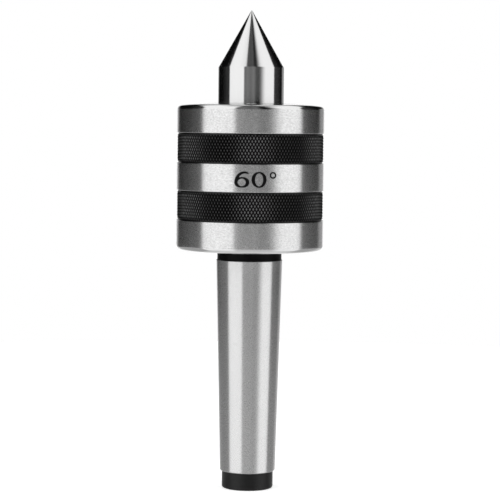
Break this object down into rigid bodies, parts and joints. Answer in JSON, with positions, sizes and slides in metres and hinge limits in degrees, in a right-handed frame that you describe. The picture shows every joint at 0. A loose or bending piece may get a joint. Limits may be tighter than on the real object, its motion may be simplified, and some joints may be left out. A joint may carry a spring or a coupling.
{
  "type": "live center",
  "caption": "Revolving lathe centre: a Morse taper shank carries a knurled round housing, in which a spindle with a 60 degree point turns on ball, thrust and needle bearings.",
  "frame": {"origin": "on the axis of rotation, in the gauge plane of the Morse taper", "axes": "+Z along the axis of rotation, towards the point; -Z towards the small end of the taper; the object is round, so +X and +Y are free"},
  "size_m": [0.0536, 0.0536, 0.174],
  "materials": {
    "ground_steel": "hardened tool steel, ground bright; knurls, neck and end stub black-oxided",
    "turned_steel": "alloy steel, turned bright",
    "polished_steel": "hardened bearing steel, ground and polished",
    "shim_steel": "cold-rolled strip steel",
    "seal_case_steel": "pressed sheet steel, phosphated",
    "nitrile_rubber": "moulded nitrile rubber",
    "spring_steel": "drawn spring wire",
    "bearing_steel": "hardened bearing steel, ground",
    "shield_steel": "pressed sheet steel",
    "ball_steel": "hardened bearing steel, lapped",
    "nylon_cage": "moulded glass-filled nylon",
    "brass_cage": "machined brass"
  },
  "bodies": {
    "housing": {"housing_with_shank": "ground_steel", "front_nut": "turned_steel", "preload_shim": "shim_steel", "nose_seal_case": "seal_case_steel", "nose_seal_lip": "nitrile_rubber", "nose_seal_spring": "spring_steel", "front_bearing_outer_race": "bearing_steel", "front_bearing_front_shield": "shield_steel", "front_bearing_rear_shield": "shield_steel", "thrust_bearing_housing_washer": "bearing_steel", "needle_bearing_cup": "shield_steel"},
    "spindle": {"spindle": "polished_steel", "front_bearing_inner_race": "bearing_steel", "thrust_bearing_shaft_washer": "bearing_steel"},
    "front_cage": {"front_bearing_cage": "nylon_cage", "front_bearing_balls": "ball_steel"},
    "thrust_cage": {"thrust_bearing_cage": "brass_cage", "thrust_bearing_balls": "ball_steel"},
    "needle_cage": {"needle_bearing_cage": "nylon_cage", "needle_bearing_rollers": "ball_steel"}
  },
  "joints": [
    {"name": "spindle_spin", "type": "hinge", "parent": "housing", "child": "spindle", "pos_m": [0, 0, 0.07496], "axis": [0, 0, 1], "continuous": true},
    {"name": "front_cage_spin", "type": "hinge", "parent": "housing", "child": "front_cage", "pos_m": [0, 0, 0.0485], "axis": [0, 0, 1], "continuous": true},
    {"name": "thrust_cage_spin", "type": "hinge", "parent": "housing", "child": "thrust_cage", "pos_m": [0, 0, 0.0345], "axis": [0, 0, 1], "continuous": true},
    {"name": "needle_cage_spin", "type": "hinge", "parent": "housing", "child": "needle_cage", "pos_m": [0, 0, 0.021], "axis": [0, 0, 1], "continuous": true}
  ],
  "couplings": [
    {"joint": "front_cage_spin", "follows": "spindle_spin", "ratio": 0.42537},
    {"joint": "thrust_cage_spin", "follows": "spindle_spin", "ratio": 0.5},
    {"joint": "needle_cage_spin", "follows": "spindle_spin", "ratio": 0.42872}
  ]
}
